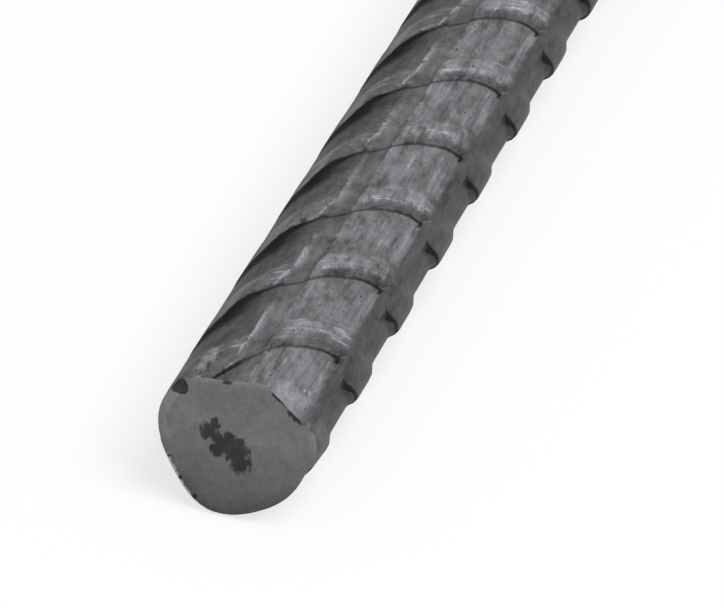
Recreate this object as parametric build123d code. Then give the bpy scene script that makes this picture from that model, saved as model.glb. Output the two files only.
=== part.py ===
"""Deformed steel reinforcing bar: one hot-rolled piece of stock, lying on a level floor.

X runs along the bar, Z is up, and the origin is on the floor under the middle of the bar,
which rests on both edges of its lower lane. Clock angles turn about the bar's axis from
straight up, positive towards -Y: to the right for someone who looks along +X at the near
cut end. Both rolls are cut alike, so what the upper half has the lower half has opposite.
Lengths are millimetres, angles degrees.
"""

from build123d import *

import os
from math import cos, radians, sin, sqrt, tan

# The stock
BAR_LENGTH = 609.6  # along the axis, from the middle of one cut face to the other
CORE_DIAMETER = 12.2  # rolled body between the ribs

# The two seam ribs, where the upper and lower roll met
SEAM_RIB_HEIGHT = 0.6
SEAM_RIB_CREST_WIDTH = 1.0
SEAM_RIB_DRAFT = 25.0  # lean of each flank from the radial direction
SEAM_RIB_ROOT_RADIUS = 0.4
SEAM_RIB_EDGE_RADIUS = 0.15
SEAM_RIB_CLOCK_ANGLE = 63.5  # the upper one

# The two lanes, shallow channels along the bar where the cross ribs stop
LANE_DEPTH = 0.2
LANE_FLOOR_WIDTH = 1.3
LANE_WALL_DRAFT = 40.0  # lean of each wall from the radial direction
LANE_FLOOR_RADIUS = 0.15
LANE_CLOCK_ANGLE = 0.0  # the upper one

# The sheared ends, cut in parallel planes that lean from square
END_SLANT = 12.0
END_SLANT_CLOCK_ANGLE = 21.5  # where each face leans back towards +X
END_EDGE_RADIUS = 0.12

CUT_OVERRUN = 5.0  # bar that is rolled past each cut and then sheared off

OPPOSITE = 180.0
CORE_RADIUS = CORE_DIAMETER / 2
CREST_RADIUS = CORE_RADIUS + SEAM_RIB_HEIGHT
HALF_CREST = SEAM_RIB_CREST_WIDTH / 2


def towards(clock):
    """Unit direction of a clock angle in the section, where x is +Y and y is up."""
    return Vector(-sin(radians(clock)), cos(radians(clock)))


def corners_at(section, clock):
    """The four corners of the rib or lane at this clock angle, the inner two first."""
    corners = section.vertices().sort_by_distance(towards(clock) * CORE_RADIUS)[:4]
    return corners.sort_by(lambda corner: Vector(corner).length)


def nearest_corner(section, place):
    """The section's corner that is nearest to a place."""
    return section.vertices().sort_by_distance(place)[0]


def with_seam_rib(section, clock):
    """The section with a seam rib: drafted flanks under a crest that is round about the axis."""
    crest_corner_height = sqrt(CREST_RADIUS**2 - HALF_CREST**2)
    half_base = HALF_CREST + crest_corner_height * tan(radians(SEAM_RIB_DRAFT))
    half_top = HALF_CREST - (CREST_RADIUS - crest_corner_height) * tan(radians(SEAM_RIB_DRAFT))
    wedge = Polygon(
        (-half_base, 0),
        (half_base, 0),
        (half_top, CREST_RADIUS),
        (-half_top, CREST_RADIUS),
        align=None,
    )
    ribbed = section + Rot(Z=clock) * (wedge & Circle(CREST_RADIUS))
    corners = corners_at(ribbed, clock)
    rooted = fillet(corners[:2], SEAM_RIB_ROOT_RADIUS)
    crest_corners = [nearest_corner(rooted, corner) for corner in corners[2:]]
    return fillet(crest_corners, SEAM_RIB_EDGE_RADIUS)


def with_lane(section, clock):
    """The section with a lane cut into it: a flat floor between drafted walls with crisp edges."""
    floor_height = CORE_RADIUS - LANE_DEPTH
    cut_top = CORE_RADIUS + LANE_DEPTH
    half_floor = LANE_FLOOR_WIDTH / 2
    half_mouth = half_floor + (cut_top - floor_height) * tan(radians(LANE_WALL_DRAFT))
    channel = Polygon(
        (-half_floor, floor_height),
        (half_floor, floor_height),
        (half_mouth, cut_top),
        (-half_mouth, cut_top),
        align=None,
    )
    laned = section - Rot(Z=clock) * channel
    return fillet(corners_at(laned, clock)[:2], LANE_FLOOR_RADIUS)


def bar_section():
    """Rolled section of the bar: round core, two seam ribs and two lanes."""
    section = Circle(CORE_RADIUS)
    for half_turn in (0, OPPOSITE):
        section = with_seam_rib(section, SEAM_RIB_CLOCK_ANGLE + half_turn)
        section = with_lane(section, LANE_CLOCK_ANGLE + half_turn)
    return section


def cut_plane(along, axis_height):
    """Plane of a cut face whose middle is this far along the bar; it faces the near end."""
    lean = towards(END_SLANT_CLOCK_ANGLE) * sin(radians(END_SLANT))
    return Plane(
        origin=(along, 0, axis_height),
        z_dir=(-cos(radians(END_SLANT)), lean.X, lean.Y),
    )


def reinforcing_bar():
    """The bar: its section rolled along X, sheared at both ends, the cut edges eased."""
    section = bar_section()
    axis_height = -section.bounding_box().min.Y
    near, far = cut_plane(-BAR_LENGTH / 2, axis_height), cut_plane(BAR_LENGTH / 2, axis_height)
    half_rolled = BAR_LENGTH / 2 + CREST_RADIUS * tan(radians(END_SLANT)) + CUT_OVERRUN
    mill = Plane(origin=(-half_rolled, 0, axis_height), x_dir=(0, 1, 0), z_dir=(1, 0, 0))
    rolled = extrude(mill * section, amount=2 * half_rolled)
    sheared = split(split(rolled, near, keep=Keep.BOTTOM), far, keep=Keep.TOP)
    end_faces = sheared.faces().sort_by(Axis.X)
    cut_edges = end_faces[0].edges() + end_faces[-1].edges()
    return fillet(cut_edges, END_EDGE_RADIUS)


def main():
    """Builds the bar and writes its STEP file."""
    os.makedirs("parts", exist_ok=True)
    bar = reinforcing_bar()
    export_step(bar, "parts/reinforcing_bar.step")
    box = bar.bounding_box()
    print("reinforcing_bar", round(bar.volume), "cubic mm", box.size, "lowest", box.min.Z)


if __name__ == "__main__":
    main()
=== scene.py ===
"""Dressed model of a deformed steel reinforcing bar that lies on a pale studio floor.

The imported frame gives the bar's solid: its core, seam ribs, lanes and sheared ends. This script
adds what a rolling mill presses into such a bar, the slanting cross ribs, what the shear did to
its near end, and the finish of hot-rolled steel. Sizes are millimetres and angles degrees until a
mesh is done, and metres after that. Clock angles turn about the bar's axis from straight up,
positive towards -Y, and "along" is the distance along the bar, towards +X.
"""

import logging
from dataclasses import dataclass, field
from enum import Enum
from math import atan2, cos, degrees, floor, radians, sin

import bmesh
import bpy
from bmesh.types import BMEdge, BMesh, BMFace, BMLayerItem
from bpy.types import Material, Node, NodeSocket, Object, World
from mathutils import Matrix, Vector, noise


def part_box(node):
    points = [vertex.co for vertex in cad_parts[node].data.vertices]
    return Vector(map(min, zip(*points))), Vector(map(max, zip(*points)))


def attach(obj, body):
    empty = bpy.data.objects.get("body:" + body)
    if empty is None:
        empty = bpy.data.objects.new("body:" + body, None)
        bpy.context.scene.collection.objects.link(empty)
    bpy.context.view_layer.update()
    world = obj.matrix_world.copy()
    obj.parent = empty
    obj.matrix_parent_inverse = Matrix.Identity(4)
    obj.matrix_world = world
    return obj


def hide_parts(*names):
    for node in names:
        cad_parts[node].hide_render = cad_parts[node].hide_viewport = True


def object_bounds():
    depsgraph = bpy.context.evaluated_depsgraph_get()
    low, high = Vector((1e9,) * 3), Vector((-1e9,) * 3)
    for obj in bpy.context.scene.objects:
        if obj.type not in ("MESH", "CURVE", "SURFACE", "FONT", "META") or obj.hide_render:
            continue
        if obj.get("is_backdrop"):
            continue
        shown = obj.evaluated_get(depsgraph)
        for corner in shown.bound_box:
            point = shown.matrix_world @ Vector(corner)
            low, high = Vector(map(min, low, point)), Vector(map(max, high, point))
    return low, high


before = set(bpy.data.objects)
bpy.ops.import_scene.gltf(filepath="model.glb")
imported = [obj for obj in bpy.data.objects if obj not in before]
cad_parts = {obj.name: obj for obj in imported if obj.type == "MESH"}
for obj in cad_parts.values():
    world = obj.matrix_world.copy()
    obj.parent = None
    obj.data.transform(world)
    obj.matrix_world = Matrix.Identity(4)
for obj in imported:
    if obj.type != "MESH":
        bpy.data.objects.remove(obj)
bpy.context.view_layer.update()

LOG = logging.getLogger("reinforcing_bar")

NODE = "reinforcing_bar"
PIECE = "rolled_bar"
BODY = "root"
ROLLED_MAP = "rolled"

MM = 0.001
TURN = 360.0
HALF_TURN = 180.0
QUARTER_TURN = 90.0
NOISE_MIDDLE = 0.5
DARKEST_TONE = 0.012
STEEL_SPECULAR = 0.12


class BarEnd(Enum):
    """A sheared end of the bar; the value is the way along that the cut face looks."""

    NEAR = -1
    FAR = 1


class Surface(Enum):
    """Which finish a face has; the value is its place in the piece's list of materials."""

    SKIN = 0
    CUT = 1
    RUBBED = 2


def smooth_step(low: float, high: float, value: float) -> float:
    """Rises smoothly from 0, where the value is low, to 1, where it is high."""
    share = min(1.0, max(0.0, (value - low) / (high - low)))
    return share * share * (3 - 2 * share)


def turned_by(clock: float, other: float) -> float:
    """Signed angle from one clock angle to another, at most half a turn."""
    return (other - clock + HALF_TURN) % TURN - HALF_TURN


def hump(clock: float, middle: float, half: float) -> float:
    """Smooth hump over clock angles: 1 at its middle, 0 half its width away."""
    return 1 - smooth_step(0.0, half, abs(turned_by(middle, clock)))


def outward(clock: float) -> Vector:
    """Unit direction from the bar's axis towards a clock angle."""
    return Vector((0, -sin(radians(clock)), cos(radians(clock))))


def clock_of(point: Vector) -> float:
    """Clock angle of a point given from the bar's axis."""
    return degrees(atan2(-point.y, point.z))


def spread(start: float, end: float, widest: float) -> list[float]:
    """Evenly spaced stops between two clock angles, without the two themselves."""
    steps = int((end - start) / widest) + 1
    return [start + (end - start) * step / steps for step in range(1, steps)]


@dataclass(frozen=True)
class RolledSection:
    """Section of the bar between its cross ribs: round core, two seam ribs and two lanes."""

    core_radius: float = 6.1
    seam_height: float = 0.6
    seam_clock: float = 63.5
    seam_steep_crest: float = 3.2
    seam_steep_foot: float = 6.0
    seam_gentle_crest: float = 3.2
    seam_gentle_foot: float = 8.0
    seam_stops: tuple[float, ...] = (-8.5, -6.0, -5.2, -4.2, -3.2, 0.0, 3.2, 4.4, 5.6, 6.8, 8.0, 11.0, 15.0)
    lane_floor_height: float = 5.9
    lane_floor_half: float = 6.0
    lane_edge_half: float = 7.9
    lane_stops: tuple[float, ...] = (-10.5, -8.6, -7.9, -6.0, -3.0, 0.0, 3.0, 6.0, 7.9, 8.6, 10.5)
    widest_step: float = 7.0

    def past_lane(self, clock: float) -> float:
        """Signed angle from the nearer lane."""
        return (clock + QUARTER_TURN) % HALF_TURN - QUARTER_TURN

    def past_seam(self, clock: float) -> float:
        """Signed angle from the nearer seam rib."""
        return self.past_lane(clock - self.seam_clock)

    def on_upper_side(self, clock: float) -> float:
        """The clock angle itself on the upper side, between the seams, or the one opposite to it."""
        return (clock - self.seam_clock) % HALF_TURN + self.seam_clock - HALF_TURN

    def seam_share(self, clock: float) -> float:
        """Share of the seam rib's height at a clock angle: steep on one side, gentle on the other.

        Args:
            clock: Clock angle.

        Returns:
            Share of the height.
        """
        past = self.past_seam(clock)
        if past < 0:
            return 1 - smooth_step(self.seam_steep_crest, self.seam_steep_foot, -past)
        return 1 - smooth_step(self.seam_gentle_crest, self.seam_gentle_foot, past)

    def body_radius(self, clock: float) -> float:
        """Radius of the core and its lanes at a clock angle, without any rib.

        Args:
            clock: Clock angle.

        Returns:
            The radius.
        """
        off_lane = abs(self.past_lane(clock))
        lane_radius = self.lane_floor_height / cos(radians(min(off_lane, self.lane_floor_half)))
        wall = (off_lane - self.lane_floor_half) / (self.lane_edge_half - self.lane_floor_half)
        return lane_radius + (self.core_radius - lane_radius) * min(1.0, max(0.0, wall))

    def clocks(self) -> list[float]:
        """Clock angles of the mesh's columns, once round from the crest of the lower seam rib.

        Returns:
            The clock angles, rising.
        """
        first_seam = self.seam_clock - HALF_TURN
        half = [first_seam + stop for stop in self.seam_stops if stop >= 0]
        half += spread(half[-1], self.lane_stops[0], self.widest_step)
        half += self.lane_stops
        half += spread(half[-1], self.seam_clock + self.seam_stops[0], self.widest_step)
        half += [self.seam_clock + stop for stop in self.seam_stops if stop < 0]
        return half + [clock + HALF_TURN for clock in half] + [half[0] + TURN]


@dataclass(frozen=True)
class RibRow:
    """A row of the mesh along a cross rib: where it lies past the root, and its share of the height."""

    narrow_place: float
    shifted_place: float
    spread_place: float
    rise_share: float


@dataclass(frozen=True)
class CrossRibs:
    """The slanting ribs that grip concrete: their spacing, section and path round the bar.

    A rib starts at one seam shifted ahead, spreads into a wide, low one on the way round, and ends
    at the other seam narrow and steep.
    """

    section: RolledSection = field(default_factory=RolledSection)
    pitch: float = 8.705
    height: float = 0.6
    first_root: float = -283.92
    rows: tuple[RibRow, ...] = (
        RibRow(0.00, -0.50, -1.30, 0.00),
        RibRow(0.15, -0.38, -1.02, 0.10),
        RibRow(0.31, -0.26, -0.68, 0.45),
        RibRow(0.48, -0.12, -0.34, 0.84),
        RibRow(0.62, 0.00, 0.00, 1.00),
        RibRow(0.90, 0.30, 0.35, 1.05),
        RibRow(1.50, 1.90, 2.40, 1.04),
        RibRow(1.95, 2.75, 3.10, 0.94),
        RibRow(2.60, 3.30, 3.50, 0.58),
        RibRow(3.30, 3.85, 3.95, 0.18),
        RibRow(3.95, 4.35, 4.35, 0.00),
        RibRow(5.40, 5.40, 5.20, 0.00),
        RibRow(6.95, 6.60, 6.30, 0.00),
        RibRow(8.48, 7.95, 7.18, 0.00),
    )
    shift_start: tuple[float, float] = (-118.0, -108.0)
    shift_end: tuple[float, float] = (-34.0, -2.0)
    spread_start: tuple[float, float] = (-100.0, -74.0)
    spread_end: tuple[float, float] = (-52.0, -22.0)
    spread_height_share: float = 0.7
    rubbed_clock: float = -68.5
    rubbed_half: tuple[float, float] = (20.0, 44.0)
    rubbed_share: float = 0.12
    steady_lead: float = -2.0
    swung_lead: float = 8.19
    swing_clock: float = -1.8
    straight_clock: float = -53.5
    straight_lead: float = 4.6
    bowed_lead: float = -0.5
    bowed_clock: float = -29.0
    bowed_half: float = 14.0
    opposite_pitches: float = 1.5
    lane_end_run: float = 3.6
    lane_fade_run: float = 14.0
    lane_cut: float = 6.5
    lane_cut_places: tuple[float, float] = (0.4, 3.2)
    lane_left_share: float = 0.12

    def side_lead(self, clock: float) -> float:
        """How far along a rib of the upper side has come at a clock angle.

        Args:
            clock: Clock angle on the upper side.

        Returns:
            Distance along from the middle of the rib's swing.
        """
        turned = radians(max(clock, self.straight_clock) - self.swing_clock)
        beyond = radians(min(clock - self.straight_clock, 0.0))
        swung = self.steady_lead * turned + self.swung_lead * sin(turned)
        bowed = self.bowed_lead * hump(clock, self.bowed_clock, self.bowed_half)
        return swung + self.straight_lead * beyond + bowed

    def half_lead(self, clock: float) -> float:
        """How far along a rib has come off the seam ribs; each half turn adds a pitch and a half."""
        halves = floor((clock - self.section.seam_clock) / HALF_TURN) + 1
        return self.side_lead(clock - HALF_TURN * halves) + halves * self.opposite_pitches * self.pitch

    def lead(self, clock: float) -> float:
        """How far along a rib has come at any clock angle; on a seam's crest the two sides meet.

        Args:
            clock: Clock angle.

        Returns:
            Distance along.
        """
        past = self.section.past_seam(clock)
        half = self.section.seam_steep_crest
        if abs(past) >= half:
            return self.half_lead(clock)
        before = self.half_lead(clock - past - half)
        after = self.half_lead(clock - past + half)
        return before + (after - before) * (past + half) / (2 * half)

    def shift_share(self, clock: float) -> float:
        """Share of a rib's shift ahead at a clock angle."""
        place = self.section.on_upper_side(clock)
        return smooth_step(*self.shift_start, place) * (1 - smooth_step(*self.shift_end, place))

    def spread_share(self, clock: float) -> float:
        """Share of a rib's spreading at a clock angle, 0 where it is steep and 1 where it is wide."""
        place = self.section.on_upper_side(clock)
        return smooth_step(*self.spread_start, place) * (1 - smooth_step(*self.spread_end, place))

    def row_place(self, row: RibRow, clock: float) -> float:
        """Where a row of the mesh lies past a rib's root at a clock angle.

        Args:
            row: The row.
            clock: Clock angle.

        Returns:
            Distance along from the root.
        """
        shift = (row.shifted_place - row.narrow_place) * self.shift_share(clock)
        spreading = (row.spread_place - row.shifted_place) * self.spread_share(clock)
        return row.narrow_place + shift + spreading

    def lane_share(self, place: float, clock: float) -> float:
        """Share of a rib's height that a lane leaves: the rib stops short on one side and fades on the other.

        Args:
            place: Place past the rib's root.
            clock: Clock angle.

        Returns:
            Share of the height.
        """
        past = self.section.past_lane(clock)
        start = self.section.lane_floor_half
        run = self.lane_end_run
        if past < 0:
            start += self.lane_cut * (1 - smooth_step(*self.lane_cut_places, place))
            run = self.lane_fade_run
        return self.lane_left_share + (1 - self.lane_left_share) * smooth_step(start, start + run, abs(past))

    def height_at(self, place: float, clock: float) -> float:
        """Height of a rib at a clock angle: lower where it spreads, where it is rubbed and by a lane.

        Args:
            place: Place past the rib's root.
            clock: Clock angle.

        Returns:
            Height over the core.
        """
        wide_share = 1 - (1 - self.spread_height_share) * self.spread_share(clock)
        off_rubbed = abs(turned_by(self.rubbed_clock, clock))
        rubbed = self.rubbed_share + (1 - self.rubbed_share) * smooth_step(*self.rubbed_half, off_rubbed)
        return self.height * self.lane_share(place, clock) * wide_share * rubbed


@dataclass(frozen=True)
class ShearedEnds:
    """The sheared ends: the lean of the cut, its broken edge and the steel that the blade pressed."""

    bar_length: float = 609.6
    slant: float = 12.0
    slant_clock: float = 21.5
    edge: float = 0.10
    ring_shares: tuple[float, ...] = (0.93, 0.84, 0.72, 0.58, 0.44, 0.30, 0.16)
    overrun: float = 3.0
    unevenness: float = 0.03
    pressed_reach: float = 2.0
    added_reach: float = 3.0
    added_reach_clock: float = 118.0
    added_reach_half: float = 60.0
    pressed_clock: float = -119.5
    pressed_half: tuple[float, float] = (136.0, 156.0)
    pressed_radius: float = 6.1
    flat_depth: float = 0.6
    flat_clock: float = -118.0
    flat_half: float = 55.0
    lip_height: float = 0.42
    lip_clock: float = -172.0
    lip_half: float = 40.0
    brow_depth: float = 1.0
    brow_clock: float = -8.0
    brow_half: float = 46.0
    brow_reach: float = 3.6
    facet_clock: float = 38.0
    facet_lean: float = 12.0
    facet_reach: float = 5.70
    chip_clock: float = -50.0
    chip_size: float = 0.85
    chip_depth: float = 0.35

    def facing(self, end: BarEnd) -> Vector:
        """Direction that an end's cut face looks in.

        Args:
            end: The end.

        Returns:
            Unit direction.
        """
        near = outward(self.slant_clock) * sin(radians(self.slant))
        near.x = -cos(radians(self.slant))
        return near * -end.value

    def middle(self, end: BarEnd) -> Vector:
        """Middle of an end's cut face, from the middle of the bar's axis."""
        return Vector((end.value * self.bar_length / 2, 0, 0))

    def on_face(self, end: BarEnd, clock: float, radius: float) -> Vector:
        """Point of an end's cut face at a clock angle and a distance from the axis.

        Args:
            end: The end.
            clock: Clock angle.
            radius: Distance from the axis.

        Returns:
            The point, from the middle of the bar's axis.
        """
        point = outward(clock) * radius
        facing = self.facing(end)
        point.x = -point.dot(facing) / facing.x
        return self.middle(end) + point

    def facet_facing(self) -> Vector:
        """Direction that the facet broken off the near rim looks in.

        Returns:
            Unit direction.
        """
        lean = radians(self.facet_lean)
        facing = outward(self.facet_clock) * cos(lean)
        facing.x = -sin(lean)
        return facing

    def facet_middle(self) -> Vector:
        """Point of the facet where it meets the near cut face, from the middle of the bar's axis."""
        return self.on_face(BarEnd.NEAR, self.facet_clock, self.facet_reach)

    def rim_radius(self, clock: float) -> float:
        """Radius that the blade left at a clock angle of the near rim.

        Args:
            clock: Clock angle.

        Returns:
            The radius.
        """
        flat = self.flat_depth * hump(clock, self.flat_clock, self.flat_half)
        brow = self.brow_depth * hump(clock, self.brow_clock, self.brow_half)
        lip = self.lip_height * hump(clock, self.lip_clock, self.lip_half)
        return self.pressed_radius - flat - brow + lip

    def reach_at(self, clock: float) -> float:
        """How far behind the cut the pressing reaches at a clock angle of the near rim.

        Args:
            clock: Clock angle.

        Returns:
            Distance behind the cut.
        """
        brow = self.brow_reach * hump(clock, self.brow_clock, self.brow_half)
        added = self.added_reach * hump(clock, self.added_reach_clock, self.added_reach_half)
        return self.pressed_reach + brow + added

    def pressed_share(self, clock: float) -> float:
        """Share of the pressing at a clock angle of the near rim: none where the ribs stay whole."""
        return 1 - smooth_step(*self.pressed_half, abs(turned_by(self.pressed_clock, clock)))


@dataclass
class ReinforcingBar:
    """The bar: its rolled skin with every rib, closed by the two sheared ends."""

    ribs: CrossRibs = field(default_factory=CrossRibs)
    ends: ShearedEnds = field(default_factory=ShearedEnds)
    weld_distance: float = 0.002
    dent_depth: float = 0.03
    dent_size: float = 2.2
    wander: float = 0.10
    wander_size: float = 1.9
    rib_change_share: float = 0.14
    rib_change_size: float = 5.0
    facet_place: float = 2.1
    facet_tone: float = 0.16

    @property
    def section(self) -> RolledSection:
        """Section that the bar is rolled to."""
        return self.ribs.section

    def axis_height(self) -> float:
        """Height of the bar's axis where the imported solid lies, in metres."""
        low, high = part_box(NODE)
        return (low.z + high.z) / 2

    def pitches(self) -> range:
        """Numbers of the pitches that the skin needs, with some to spare past each cut.

        Returns:
            The numbers.
        """
        lowest = self.ribs.lead(self.section.seam_clock - HALF_TURN)
        highest = lowest + 2 * self.ribs.opposite_pitches * self.ribs.pitch
        reach = self.ends.bar_length / 2 + self.section.core_radius + self.ends.overrun
        first = floor((-reach - highest - self.ribs.first_root) / self.ribs.pitch)
        last = floor((reach - lowest - self.ribs.first_root) / self.ribs.pitch) + 1
        return range(first, last)

    def skin_point(self, pitch_start: float, row: RibRow, clock: float) -> Vector:
        """A point of the rolled skin, from the middle of the bar's axis.

        Args:
            pitch_start: Where the root of the row's rib lies along, at no lead.
            row: The row that the point is on.
            clock: Clock angle.

        Returns:
            The point, in millimetres.
        """
        point = outward(clock) * self.section.core_radius
        point.x = pitch_start + self.ribs.row_place(row, clock) + self.ribs.lead(clock)
        change = 1 + self.rib_change_share * noise.noise(point / self.rib_change_size)
        dent = self.dent_depth * noise.noise(point / self.dent_size)
        wander = self.wander * noise.noise(point / self.wander_size)
        rib = row.rise_share * change * self.ribs.height_at(row.narrow_place, clock)
        seam = self.section.seam_height * self.section.seam_share(clock)
        along = point.x + wander
        point = outward(clock) * (self.section.body_radius(clock) + max(rib, seam) + dent)
        point.x = along
        return point

    def roll_skin(self, mesh: BMesh) -> None:
        """Lays a grid round the bar with its rows along the cross ribs, and welds it into a tube.

        Args:
            mesh: Empty mesh that takes the skin.
        """
        starts = [self.ribs.first_root + self.ribs.pitch * pitch for pitch in self.pitches()]
        rows = [(start, row) for start in starts for row in self.ribs.rows]
        clocks = self.section.clocks()
        last_row = len(rows) - 1
        last_column = len(clocks) - 1
        rolled = mesh.loops.layers.uv.new(ROLLED_MAP)
        bmesh.ops.create_grid(mesh, x_segments=last_row, y_segments=last_column, size=1.0)
        places = {}
        for vert in mesh.verts:
            start, row = rows[round((vert.co.x + 1) / 2 * last_row)]
            places[vert] = (start, row, clocks[round((vert.co.y + 1) / 2 * last_column)])
        for face in mesh.faces:
            face.smooth = True
            face.material_index = Surface.SKIN.value
            for loop in face.loops:
                start, row, clock = places[loop.vert]
                loop[rolled].uv = ((start + row.narrow_place) / self.ribs.pitch, clock / TURN)
        for vert, place in places.items():
            vert.co = self.skin_point(*place)
        edge_verts = [vert for vert in mesh.verts if vert.is_boundary]
        bmesh.ops.remove_doubles(mesh, verts=edge_verts, dist=self.weld_distance)

    def cut_off(self, mesh: BMesh, place: Vector, facing: Vector) -> list[BMEdge]:
        """Cuts off what lies past a plane.

        Args:
            mesh: Mesh that is cut.
            place: A point of the plane.
            facing: Direction that the cut looks in.

        Returns:
            The edges round the cut.
        """
        parts = mesh.verts[:] + mesh.edges[:] + mesh.faces[:]
        cut = bmesh.ops.bisect_plane(mesh, geom=parts, plane_co=place, plane_no=facing, clear_outer=True)
        return [item for item in cut["geom_cut"] if isinstance(item, BMEdge)]

    def shear(self, mesh: BMesh, end: BarEnd) -> None:
        """Cuts the skin off at an end and closes it with an uneven cut face.

        Args:
            mesh: Mesh of the skin.
            end: Which end is cut.
        """
        facing = self.ends.facing(end)
        middle = self.ends.middle(end)
        ring = self.cut_off(mesh, middle - facing * self.ends.edge, facing)
        self.press_rim(mesh, end)
        skin_faces = set(mesh.faces)
        shares = {vert: 1.0 for edge in ring for vert in edge.verts}
        last_share = 1.0
        for share in (1.0, *self.ends.ring_shares):
            for edge in ring:
                edge.smooth = share < last_share
            ring = self.next_ring(mesh, ring)
            for vert in {vert for edge in ring for vert in edge.verts}:
                if share == last_share:
                    inwards = vert.co - middle
                    inwards -= facing * inwards.dot(facing)
                    vert.co += facing * self.ends.edge - inwards.normalized() * self.ends.edge
                else:
                    vert.co = middle + (vert.co - middle) * share / last_share
                    vert.co += facing * noise.noise(vert.co) * self.ends.unevenness
                shares[vert] = share
            last_share = share
        centre = list({vert for edge in ring for vert in edge.verts})
        bmesh.ops.pointmerge(mesh, verts=centre, merge_co=middle)
        rolled = mesh.loops.layers.uv[ROLLED_MAP]
        for face in mesh.faces:
            if face not in skin_faces:
                self.face_cut(face, rolled, shares)
        LOG.info("%s end sheared", end.name.lower())

    def face_cut(self, face: BMFace, rolled: BMLayerItem, shares: dict) -> None:
        """Gives a face of the cut its finish; its map holds the share of the rim and the clock angle.

        Args:
            face: Face of the cut.
            rolled: Map that the finishes read.
            shares: Each corner's share of the way from the middle to the rim.
        """
        face.smooth = True
        face.material_index = Surface.CUT.value
        clock = clock_of(face.calc_center_median())
        for loop in face.loops:
            corner_clock = clock + turned_by(clock, clock_of(loop.vert.co))
            loop[rolled].uv = (shares.get(loop.vert, 0.0), corner_clock / TURN)

    def press_rim(self, mesh: BMesh, end: BarEnd) -> None:
        """Presses the ribs flat by the cut, on the side where the blade bore on them.

        Args:
            mesh: Mesh of the skin, already cut off at this end.
            end: Which end is pressed.
        """
        facing = self.ends.facing(end)
        middle = self.ends.middle(end)
        half_turns = (1 + end.value) / 2
        for vert in mesh.verts:
            depth = (middle - vert.co).dot(facing)
            clock = clock_of(vert.co) + HALF_TURN * half_turns
            sideways = outward(clock_of(vert.co))
            radius = vert.co.dot(sideways)
            near_cut = 1 - smooth_step(0.0, self.ends.reach_at(clock), depth)
            pressed = (self.ends.rim_radius(clock) - radius) * self.ends.pressed_share(clock) * near_cut
            sideways -= facing * sideways.dot(facing)
            vert.co += sideways.normalized() * pressed

    def next_ring(
        self, mesh: BMesh, ring: list[BMEdge]
    ) -> list[BMEdge]:
        """Grows a ring of edges into a strip of faces, and returns the edges at its new side."""
        grown = bmesh.ops.extrude_edge_only(mesh, edges=ring)
        return [item for item in grown["geom"] if isinstance(item, BMEdge) and item.is_boundary]

    def break_rim(self, mesh: BMesh) -> None:
        """Takes a flat facet off the near rim, rubbed as bright as a rib's crest, and knocks a chip in it.

        Args:
            mesh: Mesh of the closed bar.
        """
        brink = self.cut_off(mesh, self.ends.facet_middle(), self.ends.facet_facing())
        filled = bmesh.ops.edgeloop_fill(mesh, edges=brink, mat_nr=Surface.RUBBED.value, use_smooth=False)
        rolled = mesh.loops.layers.uv[ROLLED_MAP]
        for face in filled["faces"]:
            for loop in face.loops:
                crest = (self.ribs.first_root + self.facet_place) / self.ribs.pitch
                loop[rolled].uv = (crest, clock_of(loop.vert.co) / TURN)
        LOG.info("near rim broken: %d facet faces", len(filled["faces"]))
        chip = self.ends.on_face(BarEnd.NEAR, self.ends.chip_clock, self.section.core_radius)
        inwards = -self.ends.facing(BarEnd.NEAR) - outward(self.ends.chip_clock)
        for vert in mesh.verts:
            near = 1 - smooth_step(0.0, self.ends.chip_size, (vert.co - chip).length)
            vert.co += inwards.normalized() * self.ends.chip_depth * near

    def build(self) -> Object:
        """Makes the bar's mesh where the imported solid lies.

        Returns:
            The bar's object.
        """
        mesh = bmesh.new()
        self.roll_skin(mesh)
        for end in BarEnd:
            self.shear(mesh, end)
        self.break_rim(mesh)
        bmesh.ops.recalc_face_normals(mesh, faces=mesh.faces)
        bmesh.ops.scale(mesh, vec=(MM, MM, MM), verts=mesh.verts)
        bmesh.ops.translate(mesh, vec=(0, 0, self.axis_height()), verts=mesh.verts)
        data = bpy.data.meshes.new(PIECE)
        mesh.to_mesh(data)
        mesh.free()
        bar = bpy.data.objects.new(PIECE, data)
        bpy.context.scene.collection.objects.link(bar)
        return bar

    def dress(self, bar: Object) -> None:
        """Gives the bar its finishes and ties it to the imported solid.

        Args:
            bar: The bar's object.
        """
        near_middle = self.ends.middle(BarEnd.NEAR) * MM
        near_middle.z = self.axis_height()
        marks = NearEndMarks(near_middle, self.ends)
        finishes = {
            Surface.SKIN: MillScale("mill_scale").material(self, marks),
            Surface.CUT: ShearedSteel("sheared_steel").material(marks),
            Surface.RUBBED: MillScale("rubbed_scale", scale_tone=self.facet_tone).material(self, marks),
        }
        for surface in Surface:
            bar.data.materials.append(finishes[surface])
        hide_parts(NODE)
        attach(bar, BODY)


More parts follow.
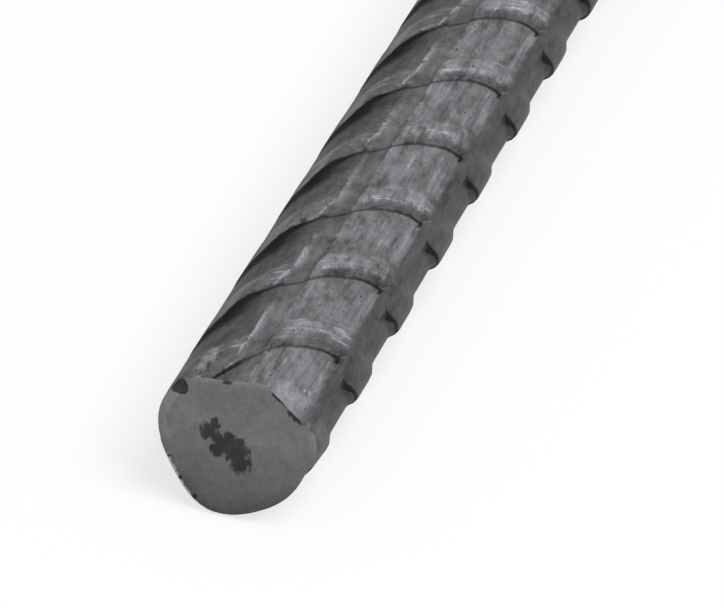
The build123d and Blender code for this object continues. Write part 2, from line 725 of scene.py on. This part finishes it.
class Amount:
    """A number that varies over a surface: a socket that takes part in Python arithmetic."""

    def __init__(self, paint: "Paint", socket: NodeSocket) -> None:
        """Keeps the paint that the number belongs to, and its socket."""
        self.paint = paint
        self.socket = socket

    def maths(self, operation: str, *operands: "Amount | float") -> "Amount":
        """A Math node on these operands."""
        inputs = dict(enumerate(operands))
        return self.paint.amount("ShaderNodeMath", {"operation": operation}, inputs)

    def __add__(self, other: "Amount | float") -> "Amount":
        """Sum."""
        return self.maths("ADD", self, other)

    __radd__ = __add__

    def __sub__(self, other: "Amount | float") -> "Amount":
        """Difference."""
        return self.maths("SUBTRACT", self, other)

    def __rsub__(self, other: "Amount | float") -> "Amount":
        """Difference, from the other number."""
        return self.maths("SUBTRACT", other, self)

    def __mul__(self, other: "Amount | float") -> "Amount":
        """Product."""
        return self.maths("MULTIPLY", self, other)

    __rmul__ = __mul__

    def __or__(self, other: "Amount | float") -> "Amount":
        """The greater of the two."""
        return self.maths("MAXIMUM", self, other)

    def rise(self, low: float, high: float) -> "Amount":
        """Smooth rise from 0, where this is low, to 1, where it is high."""
        inputs = {"Value": self, "From Min": low, "From Max": high}
        return self.paint.amount("ShaderNodeMapRange", {"interpolation_type": "SMOOTHSTEP"}, inputs)

    def fall(self, low: float, high: float) -> "Amount":
        """Smooth fall from 1, where this is low, to 0, where it is high."""
        return 1.0 - self.rise(low, high)

    def band(self, low: float, high: float, soft: float) -> "Amount":
        """1 between low and high, with soft edges of this width outside them."""
        return self.rise(low - soft, low) * self.fall(high, high + soft)

    def size(self) -> "Amount":
        """This number without its sign."""
        return self.maths("ABSOLUTE", self)

    def wrapped(self, low: float, high: float) -> "Amount":
        """This number brought into a range by whole turns of it."""
        return self.maths("WRAP", self, high, low)

    def changed(self, *changes: "tuple[Amount, float]") -> "Amount":
        """This number, changed by a share of itself wherever a mask is 1.

        Args:
            changes: Each mask and the share that it adds, or takes away if the share is below 0.

        Returns:
            The changed number.
        """
        result = self
        for mask, share in changes:
            result = result * (1.0 + share * mask)
        return result


class Paint:
    """The nodes of a material or a world, made and joined by name."""

    def __init__(self, owner: Material | World, output: str) -> None:
        """Starts with only an output.

        Args:
            owner: Material or world that gets the nodes.
            output: Type of its output node.
        """
        self.owner = owner
        owner.use_nodes = True
        self.tree = owner.node_tree
        self.tree.nodes.clear()
        self.output = self.tree.nodes.new(output)

    @classmethod
    def of_material(cls, name: str) -> "Paint":
        """Starts a new material."""
        return cls(bpy.data.materials.new(name), "ShaderNodeOutputMaterial")

    def node(self, kind: str, settings: dict | None = None, inputs: dict | None = None) -> Node:
        """Makes a node.

        Args:
            kind: The node's type.
            settings: Its properties, set first.
            inputs: Values, amounts or sockets for its inputs, by name or number.

        Returns:
            The node.
        """
        made = self.tree.nodes.new(kind)
        for key, value in (settings or {}).items():
            setattr(made, key, value)
        for key, value in (inputs or {}).items():
            if isinstance(value, Amount):
                value = value.socket
            if isinstance(value, NodeSocket):
                self.tree.links.new(value, made.inputs[key])
            else:
                made.inputs[key].default_value = value
        return made

    def amount(self, kind: str, settings: dict, inputs: dict, output: int | str = 0) -> Amount:
        """Makes a node and takes one of its outputs as a number."""
        return Amount(self, self.node(kind, settings, inputs).outputs[output])

    def vector(self, operation: str, first: object, second: object) -> NodeSocket:
        """A Vector Math node on two vectors, or on a vector and a factor for SCALE."""
        inputs = {0: first, "Scale" if operation == "SCALE" else 1: second}
        return self.node("ShaderNodeVectorMath", {"operation": operation}, inputs).outputs[0]

    def here(self, middle: Vector) -> NodeSocket:
        """Object coordinates from a middle, in millimetres."""
        place = self.node("ShaderNodeTexCoord").outputs["Object"]
        return self.vector("SCALE", self.vector("SUBTRACT", place, middle), 1 / MM)

    def parts(self, vector: NodeSocket) -> list[Amount]:
        """The three numbers of a vector."""
        return [Amount(self, part) for part in self.node("ShaderNodeSeparateXYZ", {}, {0: vector}).outputs]

    def joined(self, first: Amount | float, second: Amount, third: Amount) -> NodeSocket:
        """A vector of three numbers."""
        return self.node("ShaderNodeCombineXYZ", {}, {0: first, 1: second, 2: third}).outputs[0]

    def away_from(self, here: NodeSocket, place: Vector) -> Amount:
        """Distance from a place."""
        inputs = {0: here, 1: place}
        return self.amount("ShaderNodeVectorMath", {"operation": "DISTANCE"}, inputs, "Value")

    def over(self, here: NodeSocket, place: Vector, direction: Vector) -> Amount:
        """Distance past a place in a direction."""
        inputs = {0: self.vector("SUBTRACT", here, place), 1: direction}
        return self.amount("ShaderNodeVectorMath", {"operation": "DOT_PRODUCT"}, inputs, "Value")

    def grain(
        self, here: NodeSocket, cell: tuple[float, float, float], detail: float, rough: float
    ) -> Amount:
        """Soft noise around nothing: size of its cells, octaves and weight of the finer ones."""
        inputs = {
            "Vector": self.vector("DIVIDE", here, cell),
            "Scale": 1.0,
            "Detail": detail,
            "Roughness": rough,
        }
        return self.amount("ShaderNodeTexNoise", {}, inputs) - NOISE_MIDDLE

    def bump(self, height: Amount, distance: float, strength: float) -> NodeSocket:
        """Normal bumped by a height, which is a share of the distance in metres."""
        inputs = {"Height": height, "Distance": distance, "Strength": strength}
        return self.node("ShaderNodeBump", {}, inputs).outputs[0]

    def seen(self) -> Amount:
        """1 for rays from the camera, a mirror or a glass, 0 for rays that light the object.

        Returns:
            The number.
        """
        rays = self.node("ShaderNodeLightPath").outputs
        camera = Amount(self, rays["Is Camera Ray"])
        return camera | Amount(self, rays["Is Glossy Ray"]) | Amount(self, rays["Is Transmission Ray"])

    def as_steel(
        self,
        tint: tuple[float, float, float],
        tone: Amount,
        metallic: Amount | float,
        roughness: Amount,
        normal: NodeSocket,
    ) -> Material:
        """Finishes the paint as dull steel.

        Args:
            tint: Tint of the steel.
            tone: How light it is.
            metallic: How metallic it is.
            roughness: How rough it is.
            normal: Its bumped normal.

        Returns:
            The material.
        """
        inputs = {
            "Base Color": self.vector("SCALE", tint, tone | DARKEST_TONE),
            "Metallic": metallic,
            "Specular IOR Level": STEEL_SPECULAR,
            "Roughness": roughness,
            "Normal": normal,
        }
        self.close(self.node("ShaderNodeBsdfPrincipled", {}, inputs))
        return self.owner

    def close(self, shader: Node) -> None:
        """Joins a shader to the output."""
        self.tree.links.new(shader.outputs[0], self.output.inputs["Surface"])


class Spot:
    """A spot of the bar that a finish is worked out for: where it lies, and uneven numbers there."""

    def __init__(self, paint: Paint, middle: Vector, grains: dict[str, tuple]) -> None:
        """Reads where the spot lies, and lays the noises that all finishes have.

        Args:
            paint: Paint of the finish.
            middle: Middle of the near cut face.
            grains: Each noise's cell, its octaves and the weight of the finer ones, by name.
        """
        self.paint = paint
        self.rolled, turns, _ = paint.parts(paint.node("ShaderNodeUVMap", {"uv_map": ROLLED_MAP}).outputs[0])
        self.clock = turns * TURN
        self.here = paint.here(middle)
        self.behind_cut, self.aside, self.up = paint.parts(self.here)
        self.cloud = paint.grain(self.here, *grains["cloud"])
        self.blotch = paint.grain(self.here, *grains["blotch"])
        self.fine = paint.grain(self.here, *grains["fine"])

    def at_near_end(self) -> Amount:
        """1 on the near cut face, 0 on the far one."""
        return self.behind_cut.fall(3.0, 4.0)

    def inside(self, balls: tuple[tuple[float, ...], ...], flat: bool) -> Amount:
        """How deep the spot lies in balls.

        Args:
            balls: Each ball's place behind the cut, aside and up, and its radius.
            flat: Whether only the places aside and up count.

        Returns:
            1 in the middle of a ball, 0 at its edge and less outside.
        """
        here = self.paint.joined(0.0, self.aside, self.up) if flat else self.here
        deepest = None
        for *place, radius in balls:
            depth = 1.0 - self.paint.away_from(here, Vector(place)) * (1 / radius)
            deepest = depth if deepest is None else deepest | depth
        return deepest


@dataclass(frozen=True)
class NearEndMarks:
    """Marks of the near end, placed from the middle of its cut face.

    A mark's table gives its places behind the cut, aside and up, and a radius.
    """

    middle: Vector
    ends: ShearedEnds
    chip: tuple[float, float, float] = (0.35, 4.45, 3.75)
    chip_size: float = 0.78
    chip_fray: float = 0.14
    patch_grain: tuple = ((1.0, 0.3, 0.75), 3.0, 0.6)
    patch: tuple[tuple[float, ...], ...] = (
        (0.0, 1.82, 0.50, 0.72),
        (0.0, 1.05, 0.05, 0.62),
        (0.0, 0.40, -0.42, 0.95),
        (0.0, -0.45, -0.80, 1.00),
        (0.0, -0.91, -1.64, 0.82),
        (0.0, 1.45, 1.10, 0.42),
        (0.0, 1.40, 1.45, 0.30),
        (0.0, 0.15, 0.42, 0.40),
        (0.0, -0.60, 0.02, 0.42),
        (0.0, 1.30, -0.85, 0.42),
        (0.0, 0.95, -1.25, 0.38),
    )
    # Three pale scuffs on the first rib, then small painted glints round the broken facet
    scuffs: tuple[tuple[float, ...], ...] = (
        (1.95, 3.25, 5.05, 0.62),
        (2.70, 3.10, 5.20, 0.66),
        (3.50, 3.00, 5.35, 0.72),
        (1.90, -3.29, 5.12, 0.30),
        (3.37, -4.52, 4.07, 0.24),
        (3.68, -4.86, 3.66, 0.26),
        (5.44, -5.58, 2.41, 0.28),
        (3.03, -5.75, 1.97, 0.24),
        (1.25, -5.08, 3.58, 0.26),
        (1.20, -5.83, 2.92, 0.26),
    )
    specks: tuple[tuple[float, ...], ...] = (
        (0.0, 4.68, -2.41, 0.17),
        (0.0, 3.64, -4.06, 0.17),
        (0.0, 2.36, -5.40, 0.22),
    )

    def over_facet(self, spot: Spot, direction: Vector) -> Amount:
        """Distance of a spot past the middle of the broken facet, in a direction."""
        facet_place = self.ends.facet_middle() - self.ends.middle(BarEnd.NEAR)
        return spot.paint.over(spot.here, facet_place, direction)

    def chipped(self, spot: Spot) -> Amount:
        """1 where the near rim is chipped out dark, 0 elsewhere."""
        away = spot.paint.away_from(spot.here, Vector(self.chip)) + spot.blotch * 0.5
        return away.fall(self.chip_size - self.chip_fray, self.chip_size)

    def scuffed_and_glinting(self, spot: Spot) -> Amount:
        """1 where the near end is scuffed pale on its first rib, and at painted glints round the broken
        facet, 0 elsewhere.
        """
        return (spot.inside(self.scuffs, flat=False) + spot.blotch * 3.0).rise(-0.2, 0.8)

    def torn(self, spot: Spot) -> Amount:
        """1 where the middle of the near face is torn, in lobes frayed upwards and downwards, 0 elsewhere."""
        fray = spot.paint.grain(spot.here, *self.patch_grain)
        return (spot.inside(self.patch, flat=True) + fray * 2.1).rise(-0.32, 0.3) * spot.at_near_end()

    def pitted(self, spot: Spot) -> Amount:
        """Where the near face is pitted: specks by the lower rim, and a crack under the broken facet.

        Args:
            spot: Spot that is asked about.

        Returns:
            1 in a pit, 0 elsewhere.
        """
        specks = (spot.inside(self.specks, flat=True) + spot.blotch).rise(-0.1, 0.25)
        across = self.over_facet(spot, self.ends.facet_facing()) + spot.blotch * 1.2
        run = self.over_facet(spot, outward(self.ends.facet_clock + QUARTER_TURN)) + spot.blotch * 2.0
        crack = across.band(-0.2, 0.2, 0.14) * run.band(-0.8, 2.2, 0.4)
        return specks | crack * spot.blotch.rise(-0.24, 0.0)


class SkinSpot(Spot):
    """A spot of the rolled skin: where it lies among ribs, lanes and seams, how it is worn there and where
    light is painted.
    """

    def __init__(
        self, paint: Paint, bar: ReinforcingBar, marks: NearEndMarks, grains: dict[str, tuple]
    ) -> None:
        """Reads where the spot lies, and works out the wear and painted light that several parts of the
        finish follow.

        Args:
            paint: Paint of the finish.
            bar: Bar whose ribs and lanes the wear follows.
            marks: Marks of the near end.
            grains: Each noise's cell, its octaves and the weight of the finer ones, by name.
        """
        super().__init__(paint, marks.middle, grains)
        ribs = bar.ribs
        seam = bar.section.seam_clock
        lane_edge = bar.section.lane_edge_half
        self.streak = paint.grain(self.here, *grains["streak"])
        self.broad = paint.grain(self.here, *grains["broad"])

        # Where it lies: past a rib's root, a lane and a seam, and by its clock angle on the upper side
        along = self.rolled * ribs.pitch
        self.past_root = (along - ribs.first_root).wrapped(0.0, ribs.pitch)
        self.past_lane = self.clock.wrapped(-QUARTER_TURN, QUARTER_TURN)
        self.past_seam = (self.clock - seam).wrapped(-QUARTER_TURN, QUARTER_TURN)
        self.place = (self.clock - seam).wrapped(-HALF_TURN, 0.0) + seam
        line_place = along - ribs.first_root - 0.35 * self.place.fall(-14.0, 8.0)
        self.past_line = (line_place + 1.0).wrapped(0.0, ribs.pitch) - 1.0
        along_rib = paint.joined(self.past_root, self.clock * radians(bar.section.core_radius), along)
        self.scuff = paint.grain(along_rib, *grains["scuff"])

        # Where it is clean and painted as lit: right of the lane, up to the seam rib; the rest of the skin is
        # painted darker
        self.lane = self.past_lane.size().fall(bar.section.lane_floor_half, lane_edge + 0.4)
        self.off_seam = self.past_seam.size().rise(4.5, 6.5)
        self.raised = self.past_root.band(0.5, 2.8, 0.5)
        off_lane = (self.clock + self.blotch * 9.0).rise(lane_edge - 2.0, lane_edge + 2.5)
        self.clean_and_lit_panel = off_lane * self.clock.fall(seam - 5.6, seam - 3.8)
        clean_and_lit_crest = off_lane * self.clock.fall(seam - 17.0, seam - 2.0)
        self.clean = self.clean_and_lit_panel + (clean_and_lit_crest - self.clean_and_lit_panel) * self.raised

        # Where it is rubbed: on the ribs' crests of the upper side, and on the broken facet
        self.rubbed_up = self.clock.band(-48.0, seam - 12.0, 10.0) * (1.0 - self.lane)
        self.first_rib = self.behind_cut.fall(8.0, 10.0) * self.clock.rise(0.0, 12.0)
        self.worn = self.past_root + self.blotch * 2.0 - 0.7 * self.first_rib
        self.crest = self.worn.band(0.95, 2.6, 0.4) * self.rubbed_up
        over_facet = marks.over_facet(self, marks.ends.facet_facing())
        self.facet = over_facet.size().fall(0.03, 0.09) * self.behind_cut.fall(6.0, 8.0)


@dataclass(frozen=True)
class MillScale:
    """Hot-rolled skin: dull grey scale, rubbed and painted lighter on top, with painted highlights and
    painted shadow where sheltered.
    """

    name: str
    tint: tuple[float, float, float] = (0.985, 0.988, 1.045)
    scale_tone: float = 0.172
    metallic: float = 0.25
    bump_height: float = 0.00009
    bump_strength: float = 0.7

    def grains(self) -> dict[str, tuple]:
        """Noises of the skin: each one's cell, its octaves and the weight of the finer ones."""
        return {
            "cloud": ((3.4, 2.0, 2.0), 3.0, 0.55),
            "blotch": ((1.2, 0.8, 0.8), 4.0, 0.65),
            "streak": ((2.6, 0.3, 0.3), 3.0, 0.6),
            "broad": ((7.0, 1.0, 1.0), 2.0, 0.5),
            "fine": ((0.34, 0.24, 0.24), 2.0, 0.6),
            "scuff": ((0.3, 1.5, 9.0), 2.0, 0.5),
        }

    def worn_and_lit_tone(self, spot: SkinSpot) -> Amount:
        """Tone of the scale without its marks: mottled, lighter where rubbed and where clean with painted
        light; painted shade elsewhere.

        Args:
            spot: Spot that is asked about.

        Returns:
            The tone.
        """
        behind_cut, clock, past_root, past_seam = spot.behind_cut, spot.clock, spot.past_root, spot.past_seam
        mottle = 1.9 * spot.blotch + 1.2 * spot.cloud + 0.45 * spot.fine
        drawn = (1.15 * spot.streak + 1.1 * spot.broad) * (0.35 + 0.65 * spot.clean)
        drawn = drawn * (1.0 - 0.8 * spot.facet)
        tone = self.scale_tone * (1.0 + mottle + drawn)
        # Painted light: the clean panels come out about twice as light as the rest of the skin
        tone = tone * (0.46 + 0.52 * spot.clean + 0.32 * spot.lane + 0.1 * spot.crest)
        tone = tone * (1.0 + 0.14 * spot.crest + 0.95 * spot.scuff * spot.raised * spot.rubbed_up)
        rubbed_strip = past_seam.band(-10.5, -8.0, 1.0) * past_root.band(3.6, 7.6, 0.8) * spot.clean_and_lit_panel
        worn_groove = past_seam.band(-13.2, -12.2, 0.9) * past_root.band(3.6, 8.0, 0.8) * spot.clean_and_lit_panel
        # Painted shade on the left side of the bar, turned away from the key light
        left_side_shade = spot.place.band(-80.0, -45.0, 25.0)
        # Lighter on the crests left of the lane
        left_crest_lighter = clock.band(-52.0, -12.0, 14.0) * past_root.band(1.0, 3.4, 0.6)
        by_wall = clock.band(-14.0, -5.0, 4.0) * past_root.band(2.6, 6.6, 0.8)
        right_end = clock.band(74.0, 125.0, 8.0) * behind_cut.fall(2.0, 5.0)
        lane_root = spot.lane * (1.0 - past_root.band(2.2, 6.6, 0.8))
        above_facet = behind_cut.fall(3.5, 6.0) * spot.clean_and_lit_panel * (1.0 - spot.facet)
        flank = (past_root + spot.blotch * 0.9 - 0.8 * spot.first_rib).fall(0.6, 0.95) * spot.off_seam
        return tone.changed(
            (left_side_shade, -0.18),
            (left_crest_lighter, 0.08),
            (by_wall, 0.26),
            (right_end, 0.32),
            (lane_root, -0.2),
            (spot.facet, 0.07),
            (above_facet, -0.07),
            (rubbed_strip * (1.0 + 2.0 * spot.streak), 0.16),
            (worn_groove, -0.16),
            (flank, -0.19),
        )

    def scuffs_and_highlights(self, spot: SkinSpot) -> Amount:
        """Tone added by scuffs on the crests and by painted highlights on the crests' edges, the panels and
        the lane's edges.

        Args:
            spot: Spot that is asked about.

        Returns:
            The tone to add.
        """
        past_root, past_lane, blotch = spot.past_root, spot.past_lane, spot.blotch
        # Painted highlight along each crest's near edge, together with rubbed wear there
        brink = spot.worn.band(0.7, 1.0, 0.25) * (spot.scuff + spot.cloud + spot.fine).rise(0.06, 0.26)
        scuffs = (spot.scuff + spot.cloud * 0.6).rise(0.13, 0.22) * past_root.band(0.9, 3.2, 0.5)
        # Painted glints on the clean panels
        glints = (spot.streak + blotch * 0.8).rise(0.18, 0.3) * spot.clean
        # Painted highlights on the lane's left wall, which faces the light, and along its right edge
        off_wall = past_lane + 6.8 + 6.0 * past_root.fall(0.3, 3.2) + blotch * 5.0
        lane_wall_highlight = off_wall.band(-0.5, 0.5, 1.1) * past_root.rise(0.5, 1.0) * past_root.fall(4.0, 7.0)
        lane_wall_highlight = lane_wall_highlight * (blotch + 0.8 * spot.fine + 0.6 * spot.broad).rise(-0.16, 0.14)
        lane_edge = (past_lane + blotch * 2.0).band(7.7, 8.6, 0.5) * (blotch + spot.broad).rise(-0.05, 0.15)
        by_lane = spot.clock.band(-30.0, 30.0, 10.0) * (0.17 * lane_wall_highlight + 0.07 * lane_edge)
        return (0.05 * brink + 0.11 * scuffs) * spot.rubbed_up + 0.07 * glints + by_lane

    def root_crease_shade(self, spot: SkinSpot) -> Amount:
        """Painted shade as a dark line in a rib's root crease; on the first rib it is wider and reaches
        further left.

        Args:
            spot: Spot that is asked about.

        Returns:
            1 in the painted line of shade, 0 elsewhere.
        """
        frayed = spot.past_line + spot.blotch * 0.3
        line = frayed.band(-0.05, 0.1, 0.14) * spot.off_seam * (1.0 - 0.15 * spot.lane)
        line = line * spot.place.rise(-34.0, -24.0) * (0.75 + 0.25 * spot.past_seam.rise(-40.0, -10.0))
        first_line = frayed.band(-0.3, 0.2, 0.12) * spot.behind_cut.fall(4.0, 5.5)
        return line | first_line * spot.clock.fall(-8.0, 2.0) * spot.place.rise(-44.0, -38.0)

    def painted_shadow(self, spot: SkinSpot) -> Amount:
        """Painted shadow where a rib shelters the skin, dark under its crest's near edge: on its steep side,
        left of the lane.

        Args:
            spot: Spot that is asked about.

        Returns:
            1 where the painted shadow is darkest, 0 elsewhere.
        """
        place, past_root, behind_cut = spot.place, spot.past_root, spot.behind_cut
        # Painted shadow: a black core just under each crest's near edge, and a softer shadow on the panel
        # below it
        core_depth = 0.16 + 0.4 * place.fall(-112.0, -99.0) + 0.26 * place.rise(-56.0, -30.0)
        core_depth = core_depth + 0.34 * place.band(-90.0, -76.0, 14.0)
        core = (past_root + spot.blotch * 0.5 - core_depth).rise(-0.16, 0.0) * past_root.fall(0.55, 0.68)
        shadow = (past_root.fall(0.5, 0.66) | past_root.rise(6.4, 8.7)) * place.rise(-78.0, -66.0)
        shadow = shadow * place.fall(-36.0, -10.0) * behind_cut.rise(3.0, 6.5)
        by_seam = place.fall(-80.0, -66.0)
        unpressed = 1.0 - by_seam * behind_cut.fall(2.5, 4.0)
        dark = core * place.fall(-22.0, -10.0) | 0.84 * shadow
        return place.rise(-115.5, -111.5) * unpressed * dark * (1.0 - 0.3 * by_seam)

    def material(self, bar: ReinforcingBar, marks: NearEndMarks) -> Material:
        """Makes the finish.

        Args:
            bar: Bar whose ribs and lanes the wear follows.
            marks: Marks of the near end.

        Returns:
            The material.
        """
        paint = Paint.of_material(self.name)
        spot = SkinSpot(paint, bar, marks, self.grains())
        pits = (spot.fine + spot.blotch).rise(0.2, 0.28) * (0.3 + 0.7 * spot.rubbed_up)
        # Painted shade in the corner where a rib's root line meets the seam rib
        corner = spot.past_seam.band(-6.2, -5.2, 0.8) * spot.past_line.band(-0.35, 0.05, 0.25)
        # Painted shadow under the ribs; it also takes the metal away and roughens the skin there
        painted_shadow = self.painted_shadow(spot)
        tone = self.worn_and_lit_tone(spot) + self.scuffs_and_highlights(spot) + 0.15 * marks.scuffed_and_glinting(spot)
        # Painted shade: dark lines in the ribs' root creases and dark corners by the seam, then the painted
        # shadow under the ribs
        tone = tone.changed(
            (self.root_crease_shade(spot), -0.8),
            (corner, -0.85),
            (painted_shadow, -0.96),
            (pits, -0.65),
            (marks.chipped(spot), -0.85),
        )
        height = 0.2 * spot.streak + 0.35 * spot.blotch + 0.25 * spot.fine - 0.5 * pits
        return paint.as_steel(
            self.tint,
            tone,
            self.metallic * (1.0 - painted_shadow),
            0.56 - 0.1 * spot.crest + 0.3 * spot.cloud + 0.4 * painted_shadow,
            paint.bump(height, self.bump_height, self.bump_strength),
        )


@dataclass(frozen=True)
class ShearedSteel:
    """Cut face: smooth bare grey steel with a torn dark patch."""

    name: str
    tint: tuple[float, float, float] = (1.0, 1.0, 1.005)
    steel_tone: float = 0.19
    metallic: float = 0.25
    bump_height: float = 0.00008
    bump_strength: float = 0.5

    def grains(self) -> dict[str, tuple]:
        """Noises of the face: each one's cell, its octaves and the weight of the finer ones."""
        return {
            "cloud": ((2.4, 2.4, 2.4), 4.0, 0.6),
            "blotch": ((0.9, 0.7, 0.9), 3.0, 0.6),
            "fine": ((0.3, 0.3, 0.3), 2.0, 0.6),
        }

    def material(self, marks: NearEndMarks) -> Material:
        """Makes the finish.

        Args:
            marks: Marks of the near end.

        Returns:
            The material.
        """
        paint = Paint.of_material(self.name)
        spot = Spot(paint, marks.middle, self.grains())
        rim, clock, blotch = spot.rolled, spot.clock, spot.blotch
        near_end = spot.at_near_end()
        torn = marks.torn(spot)
        notch = (rim + blotch * 0.06).rise(0.955, 0.985) * (clock + blotch * 20.0).band(-12.0, -7.0, 5.0)
        left_strip = (rim + spot.cloud * 0.05).rise(0.86, 0.9) * clock.band(-98.0, -52.0, 8.0)
        # Painted highlight on the burr along the lower left rim
        rim_burr_highlight = (rim + spot.fine * 0.06).rise(0.965, 0.985) * clock.band(-152.0, -118.0, 5.0)
        # Painted shade where the rolled-over lower rim turns away from the light
        lower_rim_shade = rim.rise(0.7, 1.05) * spot.up.fall(-5.5, -2.0)
        tone = self.steel_tone * (1.0 + 0.6 * spot.cloud + 0.5 * blotch + 0.3 * spot.fine)
        # Darker towards the bottom of the face
        tone = tone * (0.7 + 0.3 * spot.up.rise(-5.0, 0.5))
        tone = tone.changed((lower_rim_shade, -0.3), (left_strip, 0.24)) + 0.36 * near_end * rim_burr_highlight
        pitted = near_end * (marks.pitted(spot) | marks.chipped(spot) | notch)
        tone = tone.changed((torn, -0.74), (pitted, -0.8))
        return paint.as_steel(
            self.tint,
            tone,
            self.metallic,
            0.55 + 0.2 * spot.cloud + 0.15 * torn,
            paint.bump(0.6 * blotch + 0.4 * spot.fine - 0.8 * torn, self.bump_height, self.bump_strength),
        )


@dataclass(frozen=True)
class Lamp:
    """A soft square lamp that looks at a place."""

    name: str
    place: tuple[float, float, float]
    target: tuple[float, float, float]
    side: float
    power: float

    def hang(self) -> Object:
        """Makes the lamp.

        Returns:
            The lamp's object.
        """
        light = bpy.data.lights.new(self.name, "AREA")
        light.shape = "SQUARE"
        light.size = self.side
        light.energy = self.power
        lamp = bpy.data.objects.new(self.name, light)
        lamp.location = self.place
        aim = Vector(self.target) - Vector(self.place)
        lamp.rotation_euler = aim.to_track_quat("-Z", "Y").to_euler()
        bpy.context.scene.collection.objects.link(lamp)
        return lamp


@dataclass(frozen=True)
class Studio:
    """Pale floor, soft lamps and a white surround."""

    floor_half: float = 4.0
    floor_tone: float = 0.4
    shadow_share: float = 0.3
    surround: float = 0.38
    lamps: tuple[Lamp, ...] = (
        Lamp("key", (-0.3, -0.5, 1.0), (-0.25, 0.0, 0.0), 0.7, 8.5),
        Lamp("fill", (-1.2, -0.2, 0.6), (-0.25, 0.0, 0.0), 0.7, 2.2),
    )

    def set_up(self, lowest: float) -> None:
        """Makes the floor under the object, the lamps and the surround.

        Args:
            lowest: Height of the object's lowest point.
        """
        mesh = bmesh.new()
        bmesh.ops.create_grid(mesh, x_segments=1, y_segments=1, size=self.floor_half)
        bmesh.ops.translate(mesh, vec=(0, 0, lowest), verts=mesh.verts)
        data = bpy.data.meshes.new("studio_floor")
        mesh.to_mesh(data)
        mesh.free()
        floor_sheet = bpy.data.objects.new("studio_floor", data)
        bpy.context.scene.collection.objects.link(floor_sheet)
        data.materials.append(self.paper())
        floor_sheet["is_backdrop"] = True
        for lamp in self.lamps:
            lamp.hang()
        self.light_surround()
        bpy.context.scene.view_settings.view_transform = "Standard"

    def paper(self) -> Material:
        """Pale paper, nearly white to the eye and to mirrors, that keeps a soft shadow.

        Returns:
            The material.
        """
        paint = Paint.of_material("studio_paper")
        tone = self.floor_tone
        plain = paint.node("ShaderNodeBsdfDiffuse", {}, {"Color": (tone, tone, tone, 1)})
        shade = self.shadow_share
        shadowed = paint.node("ShaderNodeBsdfDiffuse", {}, {"Color": (shade, shade, shade, 1)})
        glow = paint.node("ShaderNodeEmission", {}, {"Strength": 1 - shade})
        shown = paint.node("ShaderNodeAddShader", {}, {0: shadowed.outputs[0], 1: glow.outputs[0]})
        sides = {0: paint.seen(), 1: plain.outputs[0], 2: shown.outputs[0]}
        paint.close(paint.node("ShaderNodeMixShader", {}, sides))
        return paint.owner

    def light_surround(self) -> None:
        """Lights the scene softly from all round, from a surround that looks white."""
        paint = Paint(bpy.data.worlds.new("studio"), "ShaderNodeOutputWorld")
        light = paint.node("ShaderNodeBackground", {}, {"Color": (1, 1, 1, 1), "Strength": self.surround})
        white = paint.node("ShaderNodeBackground", {}, {"Color": (1, 1, 1, 1), "Strength": 1.0})
        sides = {0: paint.seen(), 1: light.outputs[0], 2: white.outputs[0]}
        paint.close(paint.node("ShaderNodeMixShader", {}, sides))
        bpy.context.scene.world = paint.owner


@dataclass(frozen=True)
class Camera:
    """Camera that looks down along the bar at its near end."""

    to_axis: float = 45.0
    clock: float = 21.5
    picture_slope: float = 58.51
    distance: float = 446.76
    aim: tuple[float, float, float] = (-286.21, -3.27, 0.095)
    lens: float = 286.08
    sensor: float = 36.0

    def set_up(self, axis_height: float) -> None:
        """Makes the camera the scene's own.

        Args:
            axis_height: Height of the bar's axis in metres.
        """
        away = outward(self.clock) * sin(radians(self.to_axis))
        away.x = -cos(radians(self.to_axis))
        axis = Vector((1, 0, 0))
        slope = (axis - away * axis.dot(away)).normalized()
        across = away.cross(slope)
        leaning = radians(self.picture_slope)
        right = slope * cos(leaning) - across * sin(leaning)
        up = slope * sin(leaning) + across * cos(leaning)
        place = (Vector(self.aim) + away * self.distance) * MM
        place.z += axis_height
        turn = Matrix((right, up, away)).transposed().to_4x4()
        lens = bpy.data.cameras.new("photo_camera")
        lens.sensor_width = self.sensor
        lens.lens = self.lens
        lens.clip_start = MM
        camera = bpy.data.objects.new("photo_camera", lens)
        camera.matrix_world = Matrix.Translation(place) @ turn
        bpy.context.scene.collection.objects.link(camera)
        bpy.context.scene.camera = camera


def main() -> None:
    """Builds the bar, the studio and the camera."""
    logging.basicConfig(level=logging.INFO, format="%(message)s")
    reinforcing_bar = ReinforcingBar()
    axis_height = reinforcing_bar.axis_height()
    rolled_bar = reinforcing_bar.build()
    reinforcing_bar.dress(rolled_bar)
    triangles = sum(len(face.vertices) - 2 for face in rolled_bar.data.polygons)
    LOG.info("%s: %d triangles", rolled_bar.name, triangles)
    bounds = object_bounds()
    Studio().set_up(bounds[0][2])
    Camera().set_up(axis_height)


if __name__ == "__main__":
    main()
